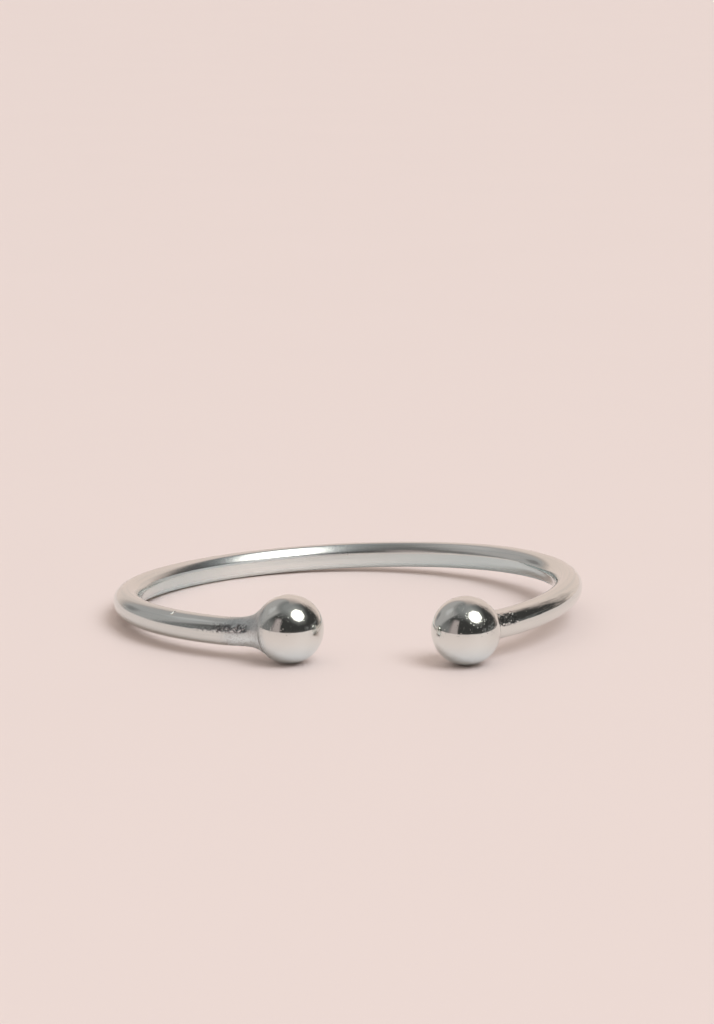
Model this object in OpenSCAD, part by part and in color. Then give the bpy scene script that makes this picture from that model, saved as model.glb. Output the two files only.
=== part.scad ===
// Open finger ring, in millimetres: one round wire bent into a band, with a
// ball soldered on each end and a gap between the two balls.
// It lies on its side as it rests by itself. Both balls and the back of the
// band touch z = 0, the gap faces -Y, and the origin is at the middle of the
// footprint.

/* [Wire] */
// Diameter of the round wire in both arms
arm_d = 1.15; // [1:0.05:1.4]
// How much thinner the wire is at the back, where it was bent hardest
back_thinning = 0.03; // [0.02:0.01:0.1]

/* [Band] */
// Radius of the back of the band, to the middle of the wire
back_r = 9.2; // [8.6:0.1:10]
// Radius of the right arm, to the middle of the wire
right_r = 9.55; // [9:0.05:10.2]
// Radius of the left arm, to the middle of the wire
left_r = 8.3; // [8:0.05:9.6]
// Where the right arm starts, in degrees from the middle of the back
right_start = 40; // [30:1:60]
// Where the left arm starts, in degrees from the middle of the back
left_start = 76; // [60:1:80]
// How far the right arm bends round before its straight end, in degrees
right_bend = 97; // [90:0.5:104]
// How far the left arm bends round before its straight end, in degrees
left_bend = 81; // [74:0.5:88]
// How far the right arm is sprung out of the back's plane, in degrees
right_spring = 2.6; // [0:0.1:4]
// How far the left arm is sprung out of the back's plane, in degrees
left_spring = 2.7; // [0:0.1:4]
// How far the right end is bent up towards its ball, in degrees
right_rise = 3.2; // [0:0.1:10]
// How far the left end is bent up towards its ball, in degrees
left_rise = 7.6; // [0:0.1:10]

/* [Flats] */
// Distance from the back's wire middle to its inner flat, as a share of the wire's radius
inner_flat = 0.73; // [0.7:0.01:0.9]
// Distance from the back's wire middle to the flat above that, as a share of the wire's radius
upper_flat = 0.78; // [0.74:0.01:0.9]
// How far down the inner flat faces, in degrees
inner_flat_dip = 3; // [0:0.5:6]
// How far up the upper flat faces, in degrees
upper_flat_lift = 32; // [28:1:36]

/* [Ball ends] */
// Diameter of each ball
ball_d = 2.75; // [2.4:0.05:3]
// Length of straight wire at each end, up to the middle of its ball
end_len = 2.1; // [2.1:0.1:2.6]
// Thickness of the solder that has run along the wire
solder_skin = 0.015; // [0.01:0.005:0.04]
// Radius of the solder's hollow curve behind the right ball
right_solder_r = 0.6; // [0.3:0.1:1.2]
// Radius of the solder's hollow curve behind the left ball
left_solder_r = 1.6; // [0.3:0.1:1.6]

/* [Hidden] */
$fn = 72;
arm_wire_r = arm_d / 2;
back_wire_r = arm_wire_r - back_thinning / 2;
ball_r = ball_d / 2;
// How far the back's wire runs on into each arm
tuck = 0.15;
// How often the resting plane is worked out again from its own contacts
settle_passes = 24;
// The drum's middle is moved to the back, so that the flats run out at the sides
drum_shift = 0.4 * back_wire_r;
drum_sweep = 150;
drum_half_height = 1;

// Middle of a ball in the back's own plane; side is 1 on the right, -1 on the left
function ball_centre(side, r, start, bend, spring, rise) =
    let (out = [side * sin(start), cos(start), 0],
         joint = back_r * out,
         along = [side * cos(start), -sin(start), 0],
         inward = -cos(spring) * out - [0, 0, sin(spring)],
         square_up = [0, 0, cos(spring)] - sin(spring) * out,
         level = cos(bend) * along + sin(bend) * inward,
         ahead = cos(rise) * level + sin(rise) * square_up)
    joint + r * (sin(bend) * along + (1 - cos(bend)) * inward) + end_len * ahead;

function unit(v) = v / norm(v);
function upward(v) = v.z < 0 ? -v : v;
// The point of the back's middle line that is lowest when the direction up is n
function back_low(n) = norm([n.x, n.y]) == 0 ? [0, back_r, 0] : -back_r * unit([n.x, n.y, 0]);

right_ball = ball_centre(1, right_r, right_start, right_bend, right_spring, right_rise);
left_ball = ball_centre(-1, left_r, left_start, left_bend, left_spring, left_rise);

// The floor's normal: square to the plane through the feet of both balls and the back
function resting_normal(n, passes) =
    passes == 0 ? n :
    let (right_foot = right_ball - ball_r * n,
         left_foot = left_ball - ball_r * n,
         back_foot = back_low(n) - back_wire_r * n)
    resting_normal(upward(unit(cross(left_foot - right_foot, back_foot - right_foot))), passes - 1);

floor_up = resting_normal([0, 0, 1], settle_passes);
lean_axis = cross(floor_up, [0, 0, 1]);
lean = acos(floor_up.z);
lift = back_wire_r - floor_up * back_low(floor_up);

// Middle of the footprint
reach_right = (back_r - right_r) * sin(right_start) + right_r;
reach_left = (back_r - left_r) * sin(left_start) + left_r;
front = max(-right_ball.y, -left_ball.y) + ball_r;
middle = [(reach_right - reach_left) / 2, (back_r + back_wire_r - front) / 2];

// Radius of the drum at a height, where it leaves a flat that faces up by a turn
function drum_r(flat, turn, z) = back_r - drum_shift - flat * back_wire_r / cos(turn) + z * tan(turn);
// Height of the ridge between the two flats
ridge = (drum_r(inner_flat, -inner_flat_dip, 0) - drum_r(upper_flat, upper_flat_lift, 0))
    / (tan(upper_flat_lift) + tan(inner_flat_dip));

// Round wire bent to radius r, clockwise seen from above. The angles are measured
// from +Y, and it runs on by the tuck past each end that is named.
module bent_wire(r, wire_r, from, to, tuck_from = 0, tuck_to = 0) {
    start = from - tuck_from / r * 180 / PI;
    end = to + tuck_to / r * 180 / PI;
    rotate([0, 0, 90 - end])
        rotate_extrude(angle = end - start)
            translate([r, 0]) circle(wire_r);
}

// Half of the lengthwise section of an end: the wire with its skin, round where it
// starts, the solder and the ball
module end_section(solder_r) {
    skin_r = arm_wire_r + solder_skin;
    ball_middle = [0, end_len];
    // The hollow curve touches the wire and the ball
    hollow = [skin_r + solder_r, end_len - sqrt((ball_r + solder_r) ^ 2 - (skin_r + solder_r) ^ 2)];
    on_ball = ball_middle + ball_r * unit(hollow - ball_middle);
    square([skin_r, end_len]);
    intersection() {
        circle(skin_r);
        translate([0, -skin_r]) square([skin_r, 2 * skin_r]);
    }
    intersection() {
        translate(ball_middle) circle(ball_r);
        translate([0, end_len - ball_r]) square([ball_r, 2 * ball_r]);
    }
    difference() {
        polygon([[0, hollow.y], hollow, on_ball, ball_middle]);
        translate(hollow) circle(solder_r);
    }
}

// Straight end of the wire along +X, with its solder and ball
module ball_end(solder_r) {
    rotate([90, 0, 90]) rotate_extrude() end_section(solder_r);
}

// One arm, from where it leaves the back to its ball, as the right arm lies
module arm(r, start, bend, spring, rise, solder_r) {
    rotate([0, 0, -start]) translate([0, back_r, 0]) rotate([spring, 0, 0]) translate([0, -r, 0]) {
        bent_wire(r, arm_wire_r, 0, bend);
        rotate([0, 0, -bend]) translate([0, r, 0]) rotate([0, -rise, 0]) ball_end(solder_r);
    }
}

// The back of the band, between the two arms
module back() {
    bent_wire(back_r, back_wire_r, -left_start, right_start, tuck, tuck);
}

// The drum that the inner side of the back was dressed on: nearly upright, and wider above
module drum() {
    translate([0, drum_shift, 0]) rotate([0, 0, 90 - drum_sweep / 2])
        rotate_extrude(angle = drum_sweep)
            polygon([
                [0, -drum_half_height],
                [drum_r(inner_flat, -inner_flat_dip, -drum_half_height), -drum_half_height],
                [drum_r(inner_flat, -inner_flat_dip, ridge), ridge],
                [drum_r(upper_flat, upper_flat_lift, drum_half_height), drum_half_height],
                [0, drum_half_height],
            ]);
}

module ball_ended_band() {
    color("silver")
        translate([-middle.x, -middle.y, lift]) rotate(a = lean, v = lean_axis) difference() {
            union() {
                back();
                arm(right_r, right_start, right_bend, right_spring, right_rise, right_solder_r);
                mirror([1, 0, 0]) arm(left_r, left_start, left_bend, left_spring, left_rise, left_solder_r);
            }
            drum();
        }
}

ball_ended_band();
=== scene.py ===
"""Open finger ring with a ball on each end: its visual model, and the plain studio around it."""

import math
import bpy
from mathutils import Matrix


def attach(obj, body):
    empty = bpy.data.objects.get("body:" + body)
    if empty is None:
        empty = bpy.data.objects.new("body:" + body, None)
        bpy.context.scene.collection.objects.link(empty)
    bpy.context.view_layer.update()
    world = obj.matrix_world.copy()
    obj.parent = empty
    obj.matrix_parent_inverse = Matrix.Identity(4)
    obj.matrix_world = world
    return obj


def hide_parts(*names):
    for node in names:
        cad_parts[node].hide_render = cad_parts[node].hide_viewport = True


bl_info = {
    "name": "Ball-ended open ring",
    "version": (1, 0, 0),
    "blender": (4, 5, 0),
    "location": "3D View > Sidebar > Ring",
    "description": "Makes a silver ring with a ball soldered on each end, and a pale studio for it",
    "category": "Add Mesh",
}

import bmesh
import bpy
from bpy.props import FloatProperty, FloatVectorProperty, IntProperty, PointerProperty
from mathutils import Matrix, Vector, noise

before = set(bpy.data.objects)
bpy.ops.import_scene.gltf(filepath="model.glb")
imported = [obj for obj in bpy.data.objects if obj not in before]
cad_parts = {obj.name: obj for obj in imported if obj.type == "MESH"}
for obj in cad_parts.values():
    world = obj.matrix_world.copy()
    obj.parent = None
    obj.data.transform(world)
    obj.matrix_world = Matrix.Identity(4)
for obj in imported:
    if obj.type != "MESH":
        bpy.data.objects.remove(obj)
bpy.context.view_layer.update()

MM = 0.001
MICRON = 0.000001
BODY = "root"
NODE = "ball_ended_band"

# Names of what the ring's mesh carries for its material
PLACE = "place_on_wire"
SOLDER = "solder"
BALL = "ball"

# Stretches of the wire, in mm from the middle of the back, negative on the left. A stretch is its start,
# its end and the softness of both. Two numbers are where something fades in.
WORN_BACK = (-13.0, 9.0, 6.0)
DRESSED_BACK = (-12.0, 13.0, 3.0)
MATT_LEFT_ARM = (-24.6, -15.0, 3.0)
LEFT_CRUST = (-24.5, -23.0, 0.5)
LEFT_TAIL = (-23.4, -22.15, 0.3)
LEFT_CREASE = (-25.17, -25.05, 0.06)
NICK = (-20.84, -20.76, 0.06)
RIGHT_CRUST = (22.2, 22.5)
RIGHT_HALF = (-1.0, 1.0)
COOL_LEFT_OF = (-9.0, -4.5)
COOL_RIGHT_OF = (-5.0, 7.0)
SHINY_RIDGE = (-2.0, 0.5)

# Bands on the wire's round section in the same form: their height, over the wire's radius
LEFT_CRUST_UP = (0.1, 0.65, 0.2)
LEFT_TAIL_UP = (0.05, 0.35, 0.15)
RIGHT_CRUST_UP = (0.05, 0.85, 0.15)
NICK_UP = (0.81, 0.95, 0.06)
RIDGE_UP = (0.24, 0.41, 0.05)
FLAT_TOP = (0.15, 0.3)
FLAT_FOOT = (-0.72, -0.55)
CREASE_TOP = (-0.1, 0.25)
# The next band is where the painted cool reflection on the left solder's lower side fades out
SOLDER_PAINTED_REFLECTION_TOP = (-0.3, 0.25)
SMOOTH_TOP = (0.2, 0.6)

# The same bands' place outward from the wire's middle, over the wire's radius
CRUST_OUT = (0.2, 0.5)
CREASE_OUT = (0.0, 0.4)
NICK_OUT = (0.0, 0.1)
OUTER_SIDE = (-0.4, 0.0)

# Where the crusts stand out of the solder, in mm behind the ball's edge in the same form, and the distance
# behind it past which nothing does
RIGHT_CRUST_BEHIND = (-0.1, 1.25, 0.25)
LEFT_CRUST_BEHIND = (0.75, 1.75, 0.5)
LEFT_TAIL_BEHIND = (1.75, 2.95, 0.3)
SMOOTH_BEHIND = 3.2

# Where the solder ends and the ball starts, in mm past the ball's edge
SOLDER_ENDS = (0.05, 0.5)
BALL_STARTS = (-0.1, 0.15)

# Strength of the crust in its tail and behind the right ball, over that behind the left ball
TAIL_SHARE = 0.5
RIGHT_SHARE = 0.7

# Where the wire gets thicker, over half the length of the back
THICKER = (0.4, 1.6)

# Where the flats of the back start to run out, over their reach
FLATS_FADE = 0.8

# Middle and half the height of the upper flat, and where the inner flat's lower edge is soft
UPPER_FLAT_MIDDLE = 0.64
UPPER_FLAT_HALF = 0.36
SOFT_BELOW = (0.1, 0.6)

# Half the width of the crease in mm
CREASE_WIDTH = 0.05

# The crust's second grain: how much finer it is than the first, and its height over the first's
FINER = 2.3
LOWER = 0.5

# How fine the marks and the tarnished streaks are, along the wire and across it
MARKS = (0.3, 11.0, 11.0)
STREAKS = (0.12, 5.0, 5.0)

# Where the painted cool reflection low on the balls ends, in mm above the floor
PAINTED_REFLECTION_TOP = (0.3, 1.3)

# How often the resting plane is worked out again from its own contacts
SETTLE_PASSES = 24

# Parts of the mirrored room, in degrees to the right of the camera's side. An area is its start, its end
# and the softness of both. Two numbers are where something fades in.
LEFT_HAZE = (-104, -58, 12)
RIGHT_HAZE = (57, 112, 10)
PANE = (-122, -98, 12)
CORNER = (-141, -128, 6)
WALL_FROM = (-151, -132)
WALL_TO = (-114, -98)
CARD_FROM = (-68, -50)
CARD_TO = (-33, -27)
BACKDROP_FROM = (115, 149)

# Their height in the same form, in degrees above the floor
RIGHT_HAZE_HEIGHT = (2, 13, 5)
PANE_HEIGHT = (37, 56, 10)
CORNER_HEIGHT = (8, 20, 6)
LEFT_HAZE_TOP = (8, 50)
WALL_TOP = (50, 72)
CARD_TOP = (37, 47)
CEILING_FROM = (38, 84)
HIGH_BACKDROP_FROM = (24, 42)
BACKDROP_TOP = (30, 84)
FILL_HEIGHT = (0, 75)

# How far the upright edges of those parts lean, in degrees for each degree of height
WALL_FROM_LEAN = 0.6
WALL_TO_LEAN = 0.75
CARD_LEAN = 0.15
BACKDROP_LEAN = 0.2

# How uneven the backdrop's edge is, in degrees
BACKDROP_WAVER = 8

# Where the lamp and the glow round it fade out, over half the lamp's width
LAMP_EDGE = (0.7, 1.25)
GLOW_EDGE = (0.9, 2.2)

# Half the floor's width in metres, and the brightness of the paper's darker clouds over the paper's
FLOOR_REACH = 3.0
PAPER_CLOUDS = 0.985


def length(name, description, default):
    return FloatProperty(
        name=name, description=description, default=default, min=0.0, unit="LENGTH", precision=5
    )


def turn(name, description, degrees):
    return FloatProperty(name=name, description=description, default=math.radians(degrees), subtype="ANGLE")


def share(name, description, default):
    return FloatProperty(
        name=name, description=description, default=default, min=0.0, max=1.0, subtype="FACTOR"
    )


def colour(name, description, default):
    return FloatVectorProperty(
        name=name, description=description, default=default, min=0.0, size=3, subtype="COLOR"
    )


class RingSizes(bpy.types.PropertyGroup):
    """The sizes that the ring is bent and soldered to"""

    back_wire: length("Back wire", "Diameter of the wire at the back of the band", 1.12 * MM)
    right_wire: length("Right wire", "Diameter of the wire in the right arm", 1.15 * MM)
    left_wire: length("Left wire", "Diameter of the wire in the left arm", 1.15 * MM)
    back_bend: length("Back bend", "Radius of the back, to the middle of the wire", 9.2 * MM)
    right_bend: length("Right bend", "Radius of the right arm, to the middle of the wire", 9.55 * MM)
    left_bend: length("Left bend", "Radius of the left arm, to the middle of the wire", 8.3 * MM)
    right_start: turn("Right start", "Where the right arm starts, from the middle of the back", 40.0)
    left_start: turn("Left start", "Where the left arm starts, from the middle of the back", 76.0)
    right_turn: turn("Right turn", "How far the right arm bends round before its straight end", 97.0)
    left_turn: turn("Left turn", "How far the left arm bends round before its straight end", 81.0)
    right_spring: turn("Right spring", "How far the right arm is sprung out of the back's plane", 2.6)
    left_spring: turn("Left spring", "How far the left arm is sprung out of the back's plane", 2.7)
    right_rise: turn("Right rise", "How far the right end is bent up towards its ball", 3.2)
    left_rise: turn("Left rise", "How far the left end is bent up towards its ball", 7.6)
    rise_reach: length("Rise reach", "Half the length of wire over which an end is bent up", 0.9 * MM)
    inner_flat: share("Inner flat", "The inner flat's distance from the wire's middle, over its radius", 0.73)
    upper_flat: share("Upper flat", "The upper flat's distance from the wire's middle, over its radius", 0.78)
    inner_flat_turn: turn("Inner flat's turn", "How far up the inner flat faces", -3.0)
    upper_flat_turn: turn("Upper flat's turn", "How far up the upper flat faces", 32.0)
    drum_shift: share("Drum shift", "How far the drum's middle is moved back, over the wire's radius", 0.4)
    flat_bulge: length("Flat bulge", "How far the middle of the upper flat is rounded out", 0.023 * MM)
    flat_edge: length("Flat edge", "How soft the ridge between the flats is", 0.02 * MM)
    low_edge: length("Low edge", "How soft the lower edge of the inner flat is", 0.13 * MM)
    flats_end: length("Flats' end", "How far from the middle of the back the flats have run out", 12.5 * MM)
    ball: length("Ball", "Diameter of each ball", 2.75 * MM)
    straight_end: length("Straight end", "Length of straight wire up to the middle of its ball", 2.1 * MM)
    right_hollow: length("Right hollow", "Radius of the solder's hollow behind the right ball", 0.4 * MM)
    left_hollow: length("Left hollow", "Radius of the solder's hollow behind the left ball", 1.6 * MM)
    solder_run: length("Solder run", "How far the solder has run on to the bent wire", 0.9 * MM)
    solder_skin: length("Solder skin", "Thickness of the solder that has run along the wire", 0.015 * MM)
    crust: length("Crust", "Height of the solder's rough crust", 0.026 * MM)
    crust_grain: length("Crust's grain", "Size of the grains in the rough crust", 0.1 * MM)
    lumps: length("Lumps", "Height of the soft lumps in the left ball's solder", 0.012 * MM)
    lump_size: length("Lump size", "Size of those lumps", 0.22 * MM)
    crease: length("Crease", "Depth of the crease between the solder and the left ball", 0.03 * MM)
    sides: IntProperty(name="Sides", description="Corners of the wire's round section", default=112, min=12)
    ring_step: length("Ring step", "Distance between two sections of the wire", 0.16 * MM)
    solder_step: length("Solder step", "Distance between two sections at the solder", 0.025 * MM)
    fine_reach: length("Fine reach", "Length of bent wire with such fine steps before the solder", 1.9 * MM)


class RingFinish(bpy.types.PropertyGroup):
    """The look of the silver"""

    silver: colour("Silver", "Colour of the polished silver", (0.775, 0.81, 0.785))
    worn: colour("Worn silver", "Colour of the silver at the back, where it is worn", (0.775, 0.80, 0.78))
    tarnish: colour("Tarnish", "Colour of the silver where it is tarnished", (0.58, 0.66, 0.67))
    bright_flat: colour("Bright flat", "Colour of the middle of the inner flat", (0.815, 0.86, 0.84))
    cool_flat: colour("Cool flat", "Colour of the inner flat's two ends", (0.61, 0.72, 0.735))
    # Painted cool reflection: a lighter, bluer colour low on the balls and on the left solder's lower side,
    # standing in for the mirrored floor
    painted_cool_reflection: colour("Foot", "Colour of the clean silver low on the balls", (0.79, 0.89, 0.91))
    solder: colour("Solder", "Colour of the solder", (0.50, 0.545, 0.56))
    crust: colour("Crust", "Colour of the rough crust's hollows", (0.22, 0.22, 0.225))
    worn_unevenly: share("Worn unevenly", "How much the worn silver's colour varies", 0.4)
    left_cool: share("Cool left", "How much of the cool flat's colour the left end has", 0.6)
    streaked: share("Streaks", "How far the streaks are tarnished", 0.3)
    arm_tarnish: share("Left arm's tarnish", "How far the left arm is tarnished", 0.25)
    solder_colour: share("Solder's share", "How much of the solder's colour the left joint has", 0.7)
    # Share of the painted cool reflection on the left solder's lower side
    solder_painted_reflection: share("Solder's foot", "How much of the foot's colour it has low down", 0.9)
    crust_dark: share("Dark crust", "How dark the crust's hollows are", 0.7)
    crease_dark: share("Dark crease", "How dark the crease along the left ball is", 0.6)
    specks_dark: share("Dark specks", "How dark the specks on the left ball's solder are", 0.25)
    polish: share("Polish", "Roughness of the balls and the right arm", 0.07)
    cloudy: share("Cloudy", "Roughness that the clouds in the polish add", 0.03)
    wear: share("Wear", "Roughness that the back's marks add", 0.17)
    arm_wear: share("Left arm's wear", "Roughness that the left arm's marks add", 0.07)
    edge_wear: share("Edge wear", "Roughness that the edges of the back's inner flat have besides", 0.33)
    solder_rough: share("Solder roughness", "Roughness that the left ball's solder adds", 0.24)
    crust_rough: share("Crust's roughness", "Roughness that the rough crust adds", 0.05)
    worn_marks: length("Worn marks", "Depth of the marks at the back and on the left arm", 1.6 * MICRON)
    smooth_top: length("Smooth top", "How much shallower those marks are on top of the arm", 1.0 * MICRON)
    fine_marks: length("Fine marks", "Depth of the marks elsewhere on the wire", 0.5 * MICRON)
    pit_depth: length("Pits", "Depth of the small pits", 4.5 * MICRON)
    nick_depth: length("Nick", "Depth of the nick in the left arm", 90.0 * MICRON)
    waves: length("Waves", "Height of the waves left by hand-polishing", 2.0 * MICRON)
    solder_waves: length("Solder's waves", "Height that waves have besides on the left solder", 9.0 * MICRON)
    solder_grain: length("Solder's grain", "Height of the left solder's fine grain", 3.5 * MICRON)
    grain_on_crust: length("Grain on the crusts", "Height that grain has besides on the crusts", 6.0 * MICRON)


class Studio(bpy.types.PropertyGroup):
    """The floor, the light and the camera"""

    floor: colour("Floor", "Colour of the pale floor", (0.80, 0.675, 0.633))
    backdrop: colour("Backdrop", "Light of the pale floor's far end", (0.79, 0.645, 0.58))
    high_backdrop: colour("High backdrop", "Light of the pale backdrop above that", (0.91, 0.73, 0.66))
    wall: colour("Wall", "Light of the grey wall on the left", (0.43, 0.40, 0.39))
    pane: colour("Pane", "Light of the pale pane in the wall", (0.55, 0.52, 0.51))
    haze: colour("Haze", "Light of what stands low on the left and the right", (0.21, 0.20, 0.195))
    card: colour("Card", "Light of the small pale card on the left", (0.445, 0.37, 0.355))
    ceiling: colour("Ceiling", "Light of the ceiling", (0.28, 0.275, 0.27))
    shade: colour("Shade", "Light of the unlit room", (0.046, 0.043, 0.041))
    corner: share("Corner", "How dark the room's left corner is", 0.5)
    lamp: colour("Lamp", "Colour of the soft light", (1.0, 0.945, 0.87))
    lamp_strength: FloatProperty(
        name="Lamp strength", description="Brightness of the soft light", default=3.6, min=0.0
    )
    glow: share("Glow", "Brightness of the glow round the soft light", 0.15)
    lamp_on_floor: colour("Lamp on the floor", "Light that the lamp sends to the floor", (5.42, 5.79, 6.16))
    fill: colour("Fill", "Light that reaches the floor's shadows", (0.71, 0.66, 0.62))
    low_fill: FloatProperty(
        name="Low fill", description="Brightness of that light from low down", default=0.55, min=0.0
    )
    high_fill: FloatProperty(
        name="High fill", description="Brightness of that light from high up", default=1.29, min=0.0
    )
    lamp_turn: turn("Lamp turn", "Where the soft light is, to the right of the camera's side", 49.0)
    lamp_rise: turn("Lamp rise", "Height of the soft light above the floor", 53.5)
    lamp_reach: turn("Lamp reach", "Half the width of the soft light, seen from the ring", 18.5)
    camera_place: FloatVectorProperty(
        name="Camera place",
        description="Where the camera stands",
        default=(0.00043, -0.1325, 0.03023),
        unit="LENGTH",
    )
    camera_tilt: turn("Camera tilt", "How far the camera looks down", 10.992)
    camera_roll: turn("Camera roll", "How far the camera is turned about its own line of sight", -0.316)
    camera_lens: FloatProperty(name="Lens", description="Focal length", default=113.72, unit="CAMERA")


class Arm:
    """One side of the ring, from the middle of the back to its ball, as the back's own plane has it."""

    def __init__(self, sizes, side):
        right = side > 0
        self.side = side
        self.wire = (sizes.right_wire if right else sizes.left_wire) / 2
        self.bend = sizes.right_bend if right else sizes.left_bend
        self.start = sizes.right_start if right else sizes.left_start
        self.turn = sizes.right_turn if right else sizes.left_turn
        self.rise = sizes.right_rise if right else sizes.left_rise
        self.hollow = sizes.right_hollow if right else sizes.left_hollow
        self.back_wire = sizes.back_wire / 2
        self.back_length = self.start * sizes.back_bend
        self.length = self.turn * self.bend
        ball = sizes.ball / 2
        self.skin = self.wire + sizes.solder_skin
        self.hollow_turn = math.acos((self.skin + self.hollow) / (ball + self.hollow))
        self.hollow_from = sizes.straight_end - (ball + self.hollow) * math.sin(self.hollow_turn)
        self.ball_from = sizes.straight_end - ball * math.sin(self.hollow_turn)
        self.joint = (self.back_length + self.length + self.ball_from) / MM
        spring = sizes.right_spring if right else sizes.left_spring
        out = Vector((side * math.sin(self.start), math.cos(self.start), 0))
        self.up = math.cos(spring) * Vector((0, 0, 1)) - math.sin(spring) * out

    def wire_at(self, distance):
        """Radius of the wire at a distance from the middle of the back."""
        return self.back_wire + (self.wire - self.back_wire) * eased(distance / self.back_length, *THICKER)


def lying_place(sizes, right, left, right_ball, left_ball):
    """How the ring lies: on both balls and the back, with its footprint's middle at the origin."""
    ball = sizes.ball / 2
    wire = sizes.back_wire / 2
    up = Vector((0, 0, 1))
    low = Vector((0, sizes.back_bend, 0))
    for _ in range(SETTLE_PASSES):
        right_foot = right_ball - ball * up
        left_foot = left_ball - ball * up
        back_foot = low - wire * up
        up = (left_foot - right_foot).cross(back_foot - right_foot).normalized()
        up = -up if up.z < 0 else up
        low = -sizes.back_bend * Vector((up.x, up.y, 0)).normalized()
    reach_right = (sizes.back_bend - right.bend) * math.sin(right.start) + right.bend
    reach_left = (sizes.back_bend - left.bend) * math.sin(left.start) + left.bend
    front = max(-right_ball.y, -left_ball.y) + ball
    middle_x = (reach_right - reach_left) / 2
    middle_y = (sizes.back_bend + wire - front) / 2
    lift = wire - up.dot(low)
    level = up.rotation_difference(Vector((0, 0, 1))).to_matrix().to_4x4()
    return Matrix.Translation((-middle_x, -middle_y, lift)) @ level


def clamped(value):
    return min(1.0, max(0.0, value))


def eased(value, low, high):
    """0 up to low, 1 from high on, and a smooth rise between them."""
    t = clamped((value - low) / (high - low))
    return t * t * (3 - 2 * t)


def inside_range(value, low, high, soft):
    """1 between low and high, and 0 outside them, with soft edges of that width."""
    return eased(value, low - soft / 2, low + soft / 2) * (1 - eased(value, high - soft / 2, high + soft / 2))


def end_profile(sizes, arm):
    """Radius of the straight end at each distance from its start: wire, solder's hollow curve, ball."""
    ball = sizes.ball / 2
    first = max(2, round(arm.hollow_from / sizes.solder_step))
    for k in range(1, first + 1):
        distance = arm.hollow_from * k / first
        yield distance, arm.wire + sizes.solder_skin * eased(k, 0, first)
    curve = max(3, round(arm.hollow * arm.hollow_turn / sizes.solder_step))
    for k in range(1, curve + 1):
        angle = arm.hollow_turn * k / curve
        yield arm.hollow_from + arm.hollow * math.sin(angle), arm.skin + arm.hollow * (1 - math.cos(angle))
    joint = math.pi / 2 - arm.hollow_turn
    rounds = round(sizes.sides / 2)
    for k in range(1, rounds):
        angle = joint + (math.pi - joint) * k / rounds
        yield sizes.straight_end - ball * math.cos(angle), ball * math.sin(angle)


class WireSweep:
    """Draws the wire's section on and on: each call adds one ring of faces to the mesh."""

    def __init__(self, mesh, edges, middle, heading, radius):
        self.mesh = mesh
        self.edges = edges
        self.middle = middle
        self.heading = heading
        self.radius = radius
        self.side = heading.x
        self.along = 0.0
        self.place = mesh.verts.layers.float_vector[PLACE]
        self.solder = mesh.verts.layers.float[SOLDER]
        self.ball = mesh.verts.layers.float[BALL]

    def draw(self, step, bend, radius, solder=0.0, ball=0.0):
        """Extrudes the last ring by a step ahead, bends it round by a turn vector, and sets its radius."""
        made = bmesh.ops.extrude_edge_only(self.mesh, edges=self.edges)["geom"]
        corners = {part for part in made if isinstance(part, bmesh.types.BMVert)}
        self.edges = [
            part for part in made if isinstance(part, bmesh.types.BMEdge) and corners.issuperset(part.verts)
        ]
        halfway = Matrix.Rotation(bend.length / 2, 4, bend)
        self.heading = halfway @ self.heading
        back = Matrix.Translation(-self.middle)
        self.middle = self.middle + step * self.heading
        self.heading = halfway @ self.heading
        grow = Matrix.Scale(radius / self.radius, 4)
        move = Matrix.Translation(self.middle) @ grow @ halfway @ halfway @ back
        bmesh.ops.transform(self.mesh, matrix=move, verts=list(corners))
        self.radius = radius
        self.along += self.side * step / MM
        for corner in corners:
            corner[self.place].x = self.along
            corner[self.solder] = solder
            corner[self.ball] = ball

    def close(self, step):
        """Draws the last ring together in one point, a step ahead."""
        tip = bmesh.ops.extrude_edge_only(self.mesh, edges=self.edges)["geom"]
        corners = [part for part in tip if isinstance(part, bmesh.types.BMVert)]
        bmesh.ops.pointmerge(self.mesh, verts=corners, merge_co=self.middle + step * self.heading)


def draw_arm(mesh, start_ring, sizes, arm):
    """Sweeps one side of the ring: its half of the back, its arm, the solder and the ball."""
    middle = Vector((0, sizes.back_bend, 0))
    sweep = WireSweep(mesh, start_ring, middle, Vector((arm.side, 0, 0)), arm.back_wire)
    back_steps = round(arm.back_length / sizes.ring_step)
    back_bend = Vector((0, 0, -arm.side * arm.start / back_steps))
    chord = 2 * sizes.back_bend * math.sin(arm.start / back_steps / 2)
    for k in range(1, back_steps + 1):
        sweep.draw(chord, back_bend, arm.wire_at(arm.back_length * k / back_steps))

    # Half of the rise comes at the end of the bent wire, and half in the straight end
    half_rise = arm.rise / 2
    coarse_length = arm.length - sizes.fine_reach
    coarse = round(coarse_length / sizes.ring_step)
    fine = round(sizes.fine_reach / sizes.solder_step)
    steps = [coarse_length / coarse] * coarse + [sizes.fine_reach / fine] * fine
    to_go = arm.length
    for step in steps:
        rising = clamped(1 - (to_go - step) / sizes.rise_reach) - clamped(1 - to_go / sizes.rise_reach)
        to_go -= step
        turned = -arm.side * step / arm.bend * arm.up
        bend = turned + rising * half_rise * sweep.heading.cross(arm.up)
        chord = 2 * arm.bend * math.sin(step / arm.bend / 2)
        solder = 1 - eased(to_go, 0.0, sizes.solder_run)
        sweep.draw(chord, bend, arm.wire_at(arm.back_length + arm.length - to_go), solder)

    done = 0.0
    for distance, radius in end_profile(sizes, arm):
        rising = clamped(distance / sizes.rise_reach) - clamped(done / sizes.rise_reach)
        bend = rising * half_rise * sweep.heading.cross(arm.up)
        past_edge = (distance - arm.ball_from) / MM
        solder = 1 - eased(past_edge, *SOLDER_ENDS)
        sweep.draw(distance - done, bend, radius, solder, eased(past_edge, *BALL_STARTS))
        done = distance
    sweep.close(sizes.straight_end + sizes.ball / 2 - done)
    return sweep.middle + (sizes.straight_end - done) * sweep.heading


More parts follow.
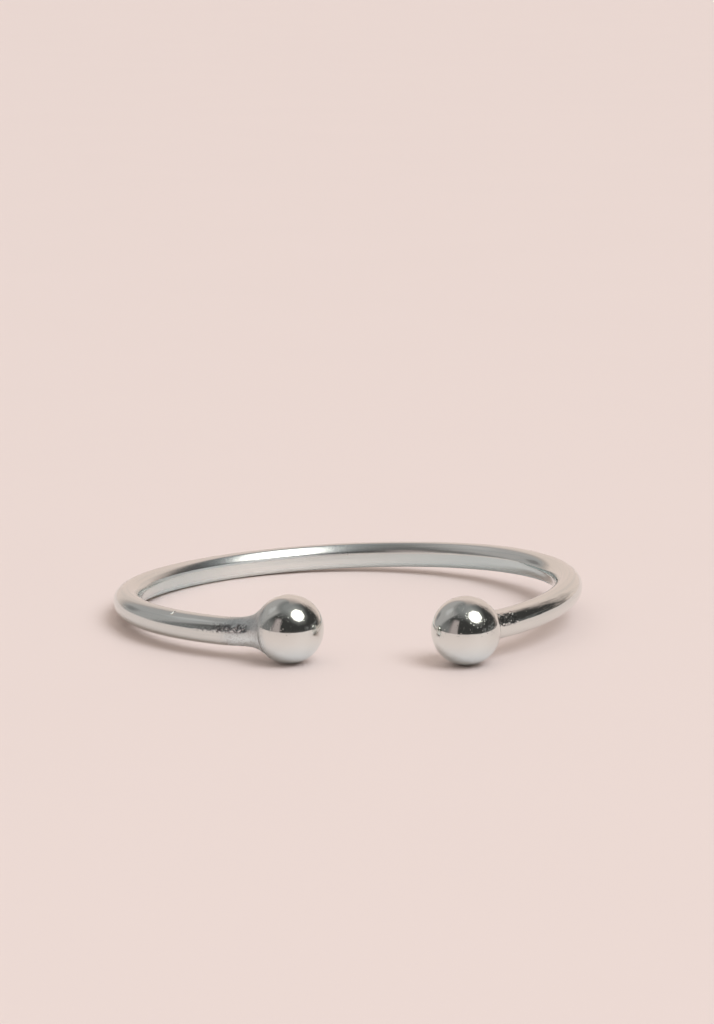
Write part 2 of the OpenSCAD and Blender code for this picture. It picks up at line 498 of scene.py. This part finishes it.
def dress_back(mesh, sizes):
    """Dresses the inner side of the back on a round drum: two soft flats that run out at the sides."""
    place = mesh.verts.layers.float_vector[PLACE]
    wire = sizes.back_wire / 2
    shift = sizes.drum_shift * wire
    flats = (
        (sizes.upper_flat, sizes.upper_flat_turn, sizes.flat_bulge),
        (sizes.inner_flat, sizes.inner_flat_turn, 0.0),
    )
    for corner in mesh.verts:
        share_done = 1 - eased(abs(corner[place].x) * MM / sizes.flats_end, FLATS_FADE, 1.0)
        if not share_done:
            continue
        for flat, face_up, bulge in flats:
            from_drum = corner.co - Vector((0, shift, 0))
            level = Vector((from_drum.x, from_drum.y, 0))
            outward = level.normalized()
            facing = math.sin(face_up) * Vector((0, 0, 1)) - math.cos(face_up) * outward
            drum = sizes.back_bend - shift - flat * wire / math.cos(face_up)
            inside = facing.dot(from_drum) + drum * math.cos(face_up)
            up_flat = (corner[place].z - UPPER_FLAT_MIDDLE) / UPPER_FLAT_HALF
            inside -= bulge * max(0.0, 1 - up_flat**2)
            softer = (sizes.low_edge - sizes.flat_edge) * eased(-corner[place].z, *SOFT_BELOW)
            edge = sizes.flat_edge + softer
            pressed = (inside + math.hypot(inside, edge)) / 2
            corner.co -= share_done * pressed * facing


def roughen_solder(mesh, sizes, right, left):
    """Gives the front of both joints a rough crust, and the left one soft lumps and a crease at its ball."""
    place = mesh.verts.layers.float_vector[PLACE]
    solder = mesh.verts.layers.float[SOLDER]
    mesh.normal_update()
    for corner in mesh.verts:
        along, out, up = corner[place]
        behind_right = right.joint - along
        behind_left = left.joint + along
        if min(behind_right, behind_left) > SMOOTH_BEHIND:
            continue
        front = eased(out, *CRUST_OUT)
        right_crust = inside_range(behind_right, *RIGHT_CRUST_BEHIND) * inside_range(up, *RIGHT_CRUST_UP)
        left_crust = inside_range(behind_left, *LEFT_CRUST_BEHIND) * inside_range(up, *LEFT_CRUST_UP)
        left_tail = inside_range(behind_left, *LEFT_TAIL_BEHIND) * inside_range(up, *LEFT_TAIL_UP)
        crusted = front * (RIGHT_SHARE * right_crust + left_crust + TAIL_SHARE * left_tail)
        grain = noise.noise(corner.co / sizes.crust_grain)
        grain += LOWER * noise.noise(corner.co / sizes.crust_grain * FINER)
        groove = math.exp(-((behind_left / CREASE_WIDTH) ** 2)) * front * (1 - eased(up, *CREASE_TOP))
        height = crusted * sizes.crust * grain - groove * sizes.crease
        if along < 0:
            height += corner[solder] * sizes.lumps * noise.noise(corner.co / sizes.lump_size)
        corner.co += height * corner.normal


def ring_mesh(sizes):
    """The whole ring as one closed mesh, lying on the floor."""
    mesh = bmesh.new()
    place = mesh.verts.layers.float_vector.new(PLACE)
    mesh.verts.layers.float.new(SOLDER)
    mesh.verts.layers.float.new(BALL)
    face_the_side = Matrix.Translation((0, sizes.back_bend, 0)) @ Matrix.Rotation(math.pi / 2, 4, "Y")
    circle = bmesh.ops.create_circle(
        mesh, cap_ends=False, segments=sizes.sides, radius=sizes.back_wire / 2, matrix=face_the_side
    )
    for corner in circle["verts"]:
        across = (corner.co - Vector((0, sizes.back_bend, 0))) / (sizes.back_wire / 2)
        corner[place] = (0, across.y, across.z)
    start_ring = list(mesh.edges)
    right = Arm(sizes, 1)
    left = Arm(sizes, -1)
    right_ball = draw_arm(mesh, start_ring, sizes, right)
    left_ball = draw_arm(mesh, start_ring, sizes, left)
    bmesh.ops.remove_doubles(mesh, verts=mesh.verts, dist=0.0001 * MM)
    bmesh.ops.recalc_face_normals(mesh, faces=mesh.faces)
    dress_back(mesh, sizes)
    roughen_solder(mesh, sizes, right, left)
    lying = lying_place(sizes, right, left, right_ball, left_ball)
    bmesh.ops.transform(mesh, matrix=lying, verts=mesh.verts)
    return mesh


class Value:
    """A number that changes over a surface. Plain arithmetic on it adds Math nodes."""

    def __init__(self, bench, socket):
        self.bench = bench
        self.socket = socket

    def math(self, operation, *values):
        node = self.bench.add("ShaderNodeMath", {"operation": operation}, dict(enumerate(values)))
        return Value(self.bench, node.outputs[0])

    def __add__(self, other):
        return self.math("ADD", self, other)

    def __sub__(self, other):
        return self.math("SUBTRACT", self, other)

    def __rsub__(self, other):
        return self.math("SUBTRACT", other, self)

    def __mul__(self, other):
        return self.math("MULTIPLY", self, other)

    def __truediv__(self, other):
        return self.math("DIVIDE", self, other)

    def __abs__(self):
        return self.math("ABSOLUTE", self)

    __radd__ = __add__
    __rmul__ = __mul__

    def larger(self, other):
        return self.math("MAXIMUM", self, other)

    def rise(self, low, high):
        """0 up to low, 1 from high on, and a smooth rise between them."""
        node = self.bench.add(
            "ShaderNodeMapRange",
            {"interpolation_type": "SMOOTHSTEP"},
            {"Value": self, "From Min": low, "From Max": high},
        )
        return Value(self.bench, node.outputs["Result"])

    def between(self, low, high, soft):
        """1 between low and high, and 0 outside them, with soft edges of that width."""
        return self.rise(low - soft / 2, low + soft / 2) * (1 - self.rise(high - soft / 2, high + soft / 2))


class Bench:
    """Adds nodes to one material's or world's node tree."""

    def __init__(self, owner):
        owner.use_nodes = True
        self.tree = owner.node_tree
        self.tree.nodes.clear()

    def add(self, kind, settings=None, values=None):
        """Adds a node, applies its settings, and fills its sockets with values or links."""
        node = self.tree.nodes.new(kind)
        for name, setting in (settings or {}).items():
            setattr(node, name, setting)
        for name, value in (values or {}).items():
            if isinstance(value, Value):
                value = value.socket
            if isinstance(value, bpy.types.NodeSocket):
                self.tree.links.new(value, node.inputs[name])
            else:
                node.inputs[name].default_value = value
        return node

    def mix(self, share_of_second, first, second):
        """A colour between two colours."""
        values = {0: share_of_second, 6: solid(first), 7: solid(second)}
        return self.add("ShaderNodeMix", {"data_type": "RGBA"}, values).outputs[2]

    def noise(self, place, scale, detail):
        """A cloudy pattern from 0 to 1."""
        node = self.add("ShaderNodeTexNoise", None, {"Vector": place, "Scale": scale, "Detail": detail})
        return Value(self, node.outputs["Fac"])

    def pits(self, place, scale, share_left_out):
        """Small round pits at random places: 1 in the middle of each, and 0 between them."""
        reach = 0.4
        soft = 0.02
        values = {"Vector": place, "Scale": scale, "Randomness": 1.0}
        node = self.add("ShaderNodeTexVoronoi", {"feature": "F1"}, values)
        chosen = Value(self, node.outputs["Color"]).rise(share_left_out, share_left_out + soft)
        return (1 - Value(self, node.outputs["Distance"]).rise(0.0, reach)) * chosen

    def parts(self, vector):
        """The three parts of a vector, each a number."""
        node = self.add("ShaderNodeSeparateXYZ", None, {0: vector})
        return [Value(self, node.outputs[name]) for name in "XYZ"]

    def vector(self, operation, *values):
        node = self.add("ShaderNodeVectorMath", {"operation": operation}, dict(enumerate(values)))
        return node.outputs["Value" if operation == "DOT_PRODUCT" else "Vector"]

    def attribute(self, name):
        return self.add("ShaderNodeAttribute", {"attribute_name": name})


def solid(value):
    """A colour with its alpha, where the value is a plain colour."""
    if isinstance(value, bpy.types.NodeSocket):
        return value
    return (*value, 1.0)


def silver_material(finish):
    """Hand-polished silver: marks along the wire, small pits, a little tarnish, pitted solder, and a painted
    cool reflection low on the balls and the left solder.
    """
    material = bpy.data.materials.new("polished_silver")
    bench = Bench(material)
    to_mm = (1 / MM, 1 / MM, 1 / MM)
    place_mm = bench.vector("MULTIPLY", bench.add("ShaderNodeTexCoord").outputs["Object"], to_mm)
    above_floor = bench.parts(place_mm)[2]
    on_wire = bench.attribute(PLACE).outputs["Vector"]
    along, out, up = bench.parts(on_wire)
    solder = Value(bench, bench.attribute(SOLDER).outputs["Fac"])
    ball = Value(bench, bench.attribute(BALL).outputs["Fac"])
    off_ball = 1 - ball

    back = along.between(*WORN_BACK)
    inner_side = along.between(*DRESSED_BACK) * (1 - out.rise(*OUTER_SIDE))
    left_arm = along.between(*MATT_LEFT_ARM)
    left_solder = solder * (1 - along.rise(*RIGHT_HALF))
    left_crust = along.between(*LEFT_CRUST) * up.between(*LEFT_CRUST_UP)
    left_tail = along.between(*LEFT_TAIL) * up.between(*LEFT_TAIL_UP)
    right_crust = along.rise(*RIGHT_CRUST) * up.between(*RIGHT_CRUST_UP)
    crusted = (left_crust + left_tail * TAIL_SHARE + right_crust) * out.rise(*CRUST_OUT) * off_ball
    crease = along.between(*LEFT_CREASE) * (1 - up.rise(*CREASE_TOP)) * out.rise(*CREASE_OUT)
    nick = along.between(*NICK) * up.between(*NICK_UP) * out.rise(*NICK_OUT)

    marks = bench.noise(bench.vector("MULTIPLY", on_wire, MARKS), scale=1.0, detail=4.0)
    streaks = bench.noise(bench.vector("MULTIPLY", on_wire, STREAKS), scale=1.0, detail=2.0)
    streaks = streaks.rise(0.45, 0.7)
    pitted = bench.noise(place_mm, scale=1.3, detail=1.0).rise(0.43, 0.6)
    pits = bench.pits(place_mm, scale=13.0, share_left_out=0.58) * pitted * (1 - back)
    waves = bench.noise(place_mm, scale=3.5, detail=1.0)
    grain = bench.noise(place_mm, scale=9.0, detail=2.0)
    hollows = 1 - grain.rise(0.42, 0.56)
    specks = left_solder * bench.noise(place_mm, scale=12.0, detail=2.0).rise(0.5, 0.62)
    cloud = bench.noise(place_mm, scale=0.9, detail=3.0)

    arm_marks = left_arm * (finish.worn_marks - up.rise(*SMOOTH_TOP) * finish.smooth_top)
    height = marks * (back * finish.worn_marks + arm_marks + finish.fine_marks) * off_ball
    height = height + waves * (left_solder * finish.solder_waves + finish.waves)
    height = height + grain * (left_solder * finish.solder_grain + crusted * finish.grain_on_crust)
    height = height - pits * finish.pit_depth - nick * finish.nick_depth
    bump = bench.add("ShaderNodeBump", None, {"Strength": 1.0, "Distance": 1.0, "Height": height})

    worn = back * (cloud * finish.worn_unevenly + (1 - finish.worn_unevenly / 2))
    base = bench.mix(worn, finish.silver, finish.worn)
    to_end = along.rise(*COOL_RIGHT_OF) + (1 - along.rise(*COOL_LEFT_OF)) * finish.left_cool
    flat_colour = bench.mix(to_end, finish.bright_flat, finish.cool_flat)
    base = bench.mix(inner_side * (1 - up.rise(*FLAT_TOP)), base, flat_colour)
    tarnished = streaks * off_ball * finish.streaked + left_arm * finish.arm_tarnish
    base = bench.mix(tarnished, base, finish.tarnish)
    # Painted cool reflection, lighter and bluer, on the lower part of each ball
    base = bench.mix((1 - above_floor.rise(*PAINTED_REFLECTION_TOP)) * ball, base, finish.painted_cool_reflection)
    base = bench.mix(left_solder * finish.solder_colour, base, finish.solder)
    # Painted cool reflection, lighter and bluer, on the lower side of the left solder
    base = bench.mix(left_solder * (1 - up.rise(*SOLDER_PAINTED_REFLECTION_TOP)) * finish.solder_painted_reflection, base, finish.painted_cool_reflection)
    dark = crusted * hollows * finish.crust_dark + crease * finish.crease_dark + specks * finish.specks_dark
    base = bench.mix(dark, base, finish.crust)

    left_satin = left_solder * (1 - crusted) * finish.solder_rough
    ridge = up.between(*RIDGE_UP) * (1 - along.rise(*SHINY_RIDGE))
    edges = inner_side * (1 - up.rise(*FLAT_FOOT) + ridge)
    roughness = back * finish.wear + left_arm * finish.arm_wear + cloud * finish.cloudy + finish.polish
    roughness = roughness + left_satin + crusted * finish.crust_rough + edges * finish.edge_wear
    shader = bench.add(
        "ShaderNodeBsdfPrincipled",
        None,
        {"Base Color": base, "Metallic": 1.0, "Roughness": roughness, "Normal": bump.outputs["Normal"]},
    )
    bench.add("ShaderNodeOutputMaterial", None, {"Surface": shader.outputs["BSDF"]})
    return material


def floor_material(studio):
    """Plain pale matt paper with a faint cloudiness."""
    material = bpy.data.materials.new("pale_paper")
    bench = Bench(material)
    place = bench.add("ShaderNodeTexCoord").outputs["Object"]
    cloud = bench.noise(place, scale=60.0, detail=4.0)
    deeper = [PAPER_CLOUDS * part for part in studio.floor]
    paper = bench.mix(cloud, studio.floor, deeper)
    shader = bench.add("ShaderNodeBsdfPrincipled", None, {"Base Color": paper, "Roughness": 0.6})
    bench.add("ShaderNodeOutputMaterial", None, {"Surface": shader.outputs["BSDF"]})
    return material


def towards(azimuth, rise):
    """The direction at an angle to the right of the camera's side, and at a height above the floor."""
    level = math.cos(rise)
    return Vector((level * math.sin(azimuth), -level * math.cos(azimuth), math.sin(rise)))


def studio_light(studio):
    """A dim room with a grey wall, a pale card, the pale floor's far end and one large soft light."""
    world = bpy.data.worlds.new("soft_studio")
    bench = Bench(world)
    looking = bench.add("ShaderNodeTexCoord").outputs["Generated"]
    x, y, z = bench.parts(looking)
    azimuth = x.math("ARCTAN2", x, 0 - y) * math.degrees(1)
    height = z.math("ARCSINE", z) * math.degrees(1)

    room = bench.mix(height.rise(*CEILING_FROM), studio.shade, studio.ceiling)
    left_haze = azimuth.between(*LEFT_HAZE) * (1 - height.rise(*LEFT_HAZE_TOP))
    room = bench.mix(left_haze, room, studio.haze)
    wall_from = (azimuth + height * WALL_FROM_LEAN).rise(*WALL_FROM)
    wall_to = (azimuth - height * WALL_TO_LEAN).rise(*WALL_TO)
    room = bench.mix(wall_from * (1 - wall_to) * (1 - height.rise(*WALL_TOP)), room, studio.wall)
    room = bench.mix(azimuth.between(*PANE) * height.between(*PANE_HEIGHT), room, studio.pane)
    corner = azimuth.between(*CORNER) * height.between(*CORNER_HEIGHT)
    room = bench.mix(corner * studio.corner, room, studio.shade)
    card_from = (azimuth - height * CARD_LEAN).rise(*CARD_FROM)
    card = card_from * (1 - azimuth.rise(*CARD_TO)) * (1 - height.rise(*CARD_TOP))
    room = bench.mix(card, room, studio.card)
    mottled = bench.noise(looking, scale=9.0, detail=2.0).rise(0.42, 0.6)
    right_haze = azimuth.between(*RIGHT_HAZE) * height.between(*RIGHT_HAZE_HEIGHT)
    room = bench.mix(right_haze * mottled, room, studio.haze)
    backdrop_from = (azimuth - height * BACKDROP_LEAN + mottled * BACKDROP_WAVER).rise(*BACKDROP_FROM)
    behind = backdrop_from + 1 - wall_from
    backdrop = bench.mix(height.rise(*HIGH_BACKDROP_FROM), studio.backdrop, studio.high_backdrop)
    room = bench.mix(behind * (1 - height.rise(*BACKDROP_TOP)), room, backdrop)

    lamp_to = towards(studio.lamp_turn, studio.lamp_rise)
    lamp_side = Vector((0, 0, 1)).cross(lamp_to).normalized()
    lamp_up = lamp_to.cross(lamp_side)
    facing, sideways, upwards = (
        Value(bench, bench.vector("DOT_PRODUCT", looking, axis)) for axis in (lamp_to, lamp_side, lamp_up)
    )
    aside = abs(sideways / facing)
    above = abs(upwards / facing)
    eight_sided = aside.larger(above).larger((aside + above) * math.sqrt(0.5))
    off_lamp = eight_sided / math.tan(studio.lamp_reach)
    in_front = facing.rise(0.0, 0.1)
    glow = (1 - off_lamp.rise(*GLOW_EDGE)) * in_front
    lit = (1 - off_lamp.rise(*LAMP_EDGE)) * in_front
    lamp = [studio.lamp_strength * part for part in studio.lamp]
    room = bench.mix(glow * studio.glow, room, studio.lamp)
    room = bench.mix(lit, room, lamp)
    low_fill = [studio.low_fill * part for part in studio.fill]
    high_fill = [studio.high_fill * part for part in studio.fill]
    fill = bench.mix(height.rise(*FILL_HEIGHT), low_fill, high_fill)
    on_floor = bench.mix(lit, fill, studio.lamp_on_floor)

    # The silver mirrors the room, the floor gets lamp and fill, and the camera sees the floor's colour
    path = bench.add("ShaderNodeLightPath")
    mirrored = Value(bench, path.outputs["Is Glossy Ray"])
    from_floor = mirrored * Value(bench, path.outputs["Diffuse Depth"]).rise(0.4, 0.6)
    sent = bench.mix(mirrored, on_floor, room)
    sent = bench.mix(from_floor, sent, fill)
    sent = bench.mix(path.outputs["Is Camera Ray"], sent, studio.floor)
    background = bench.add("ShaderNodeBackground", None, {"Color": sent, "Strength": 1.0})
    bench.add("ShaderNodeOutputWorld", None, {"Surface": background.outputs[0]})
    return world


def finished_object(name, mesh, material):
    """Turns a bmesh into a smooth object at the origin with its material."""
    data = bpy.data.meshes.new(name)
    mesh.to_mesh(data)
    mesh.free()
    data.shade_smooth()
    data.materials.append(material)
    made = bpy.data.objects.new(name, data)
    bpy.context.scene.collection.objects.link(made)
    return made


class RING_OT_make_ring(bpy.types.Operator):
    """Make the silver ring: the bent wire, the solder and both balls"""

    bl_idname = "ring.make_ring"
    bl_label = "Silver ring"

    def execute(self, context):
        scene = context.scene
        mesh = ring_mesh(scene.ring_sizes)
        ring = finished_object("silver_ring", mesh, silver_material(scene.ring_finish))
        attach(ring, BODY)
        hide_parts(NODE)
        return {"FINISHED"}


class RING_OT_make_studio(bpy.types.Operator):
    """Make the pale floor and the soft light"""

    bl_idname = "ring.make_studio"
    bl_label = "Pale studio"

    def execute(self, context):
        studio = context.scene.ring_studio
        mesh = bmesh.new()
        bmesh.ops.create_grid(mesh, x_segments=8, y_segments=8, size=FLOOR_REACH)
        floor = finished_object("floor", mesh, floor_material(studio))
        context.scene.world = studio_light(studio)
        context.scene.view_settings.view_transform = "Standard"
        return {"FINISHED"}


class RING_OT_place_camera(bpy.types.Operator):
    """Place the camera in front of the ring's open side, a little above it"""

    bl_idname = "ring.place_camera"
    bl_label = "Camera"

    def execute(self, context):
        studio = context.scene.ring_studio
        data = bpy.data.cameras.new("camera")
        data.lens = studio.camera_lens
        data.sensor_width = 36.0
        data.clip_start = 0.01
        data.clip_end = 20.0
        camera = bpy.data.objects.new("camera", data)
        camera.location = studio.camera_place
        tilted = Matrix.Rotation(math.pi / 2 - studio.camera_tilt, 3, "X")
        camera.rotation_euler = (tilted @ Matrix.Rotation(studio.camera_roll, 3, "Z")).to_euler()
        context.scene.collection.objects.link(camera)
        context.scene.camera = camera
        return {"FINISHED"}


class RING_PT_tools(bpy.types.Panel):
    """Lists the ring's sizes, its finish and its studio"""

    bl_idname = "RING_PT_tools"
    bl_label = "Ball-ended ring"
    bl_space_type = "VIEW_3D"
    bl_region_type = "UI"
    bl_category = "Ring"

    def draw(self, context):
        scene = context.scene
        groups = (scene.ring_sizes, scene.ring_finish, scene.ring_studio)
        operators = (RING_OT_make_ring, RING_OT_make_studio, RING_OT_place_camera)
        for operator in operators:
            self.layout.operator(operator.bl_idname)
        for group in groups:
            box = self.layout.box()
            for name in group.__annotations__:
                box.prop(group, name)


CLASSES = (
    RingSizes,
    RingFinish,
    Studio,
    RING_OT_make_ring,
    RING_OT_make_studio,
    RING_OT_place_camera,
    RING_PT_tools,
)


def register():
    for each in CLASSES:
        bpy.utils.register_class(each)
    bpy.types.Scene.ring_sizes = PointerProperty(type=RingSizes)
    bpy.types.Scene.ring_finish = PointerProperty(type=RingFinish)
    bpy.types.Scene.ring_studio = PointerProperty(type=Studio)


def unregister():
    del bpy.types.Scene.ring_studio
    del bpy.types.Scene.ring_finish
    del bpy.types.Scene.ring_sizes
    for each in reversed(CLASSES):
        bpy.utils.unregister_class(each)


def main():
    register()
    bpy.ops.ring.make_ring()
    bpy.ops.ring.make_studio()
    bpy.ops.ring.place_camera()


if __name__ == "__main__":
    main()
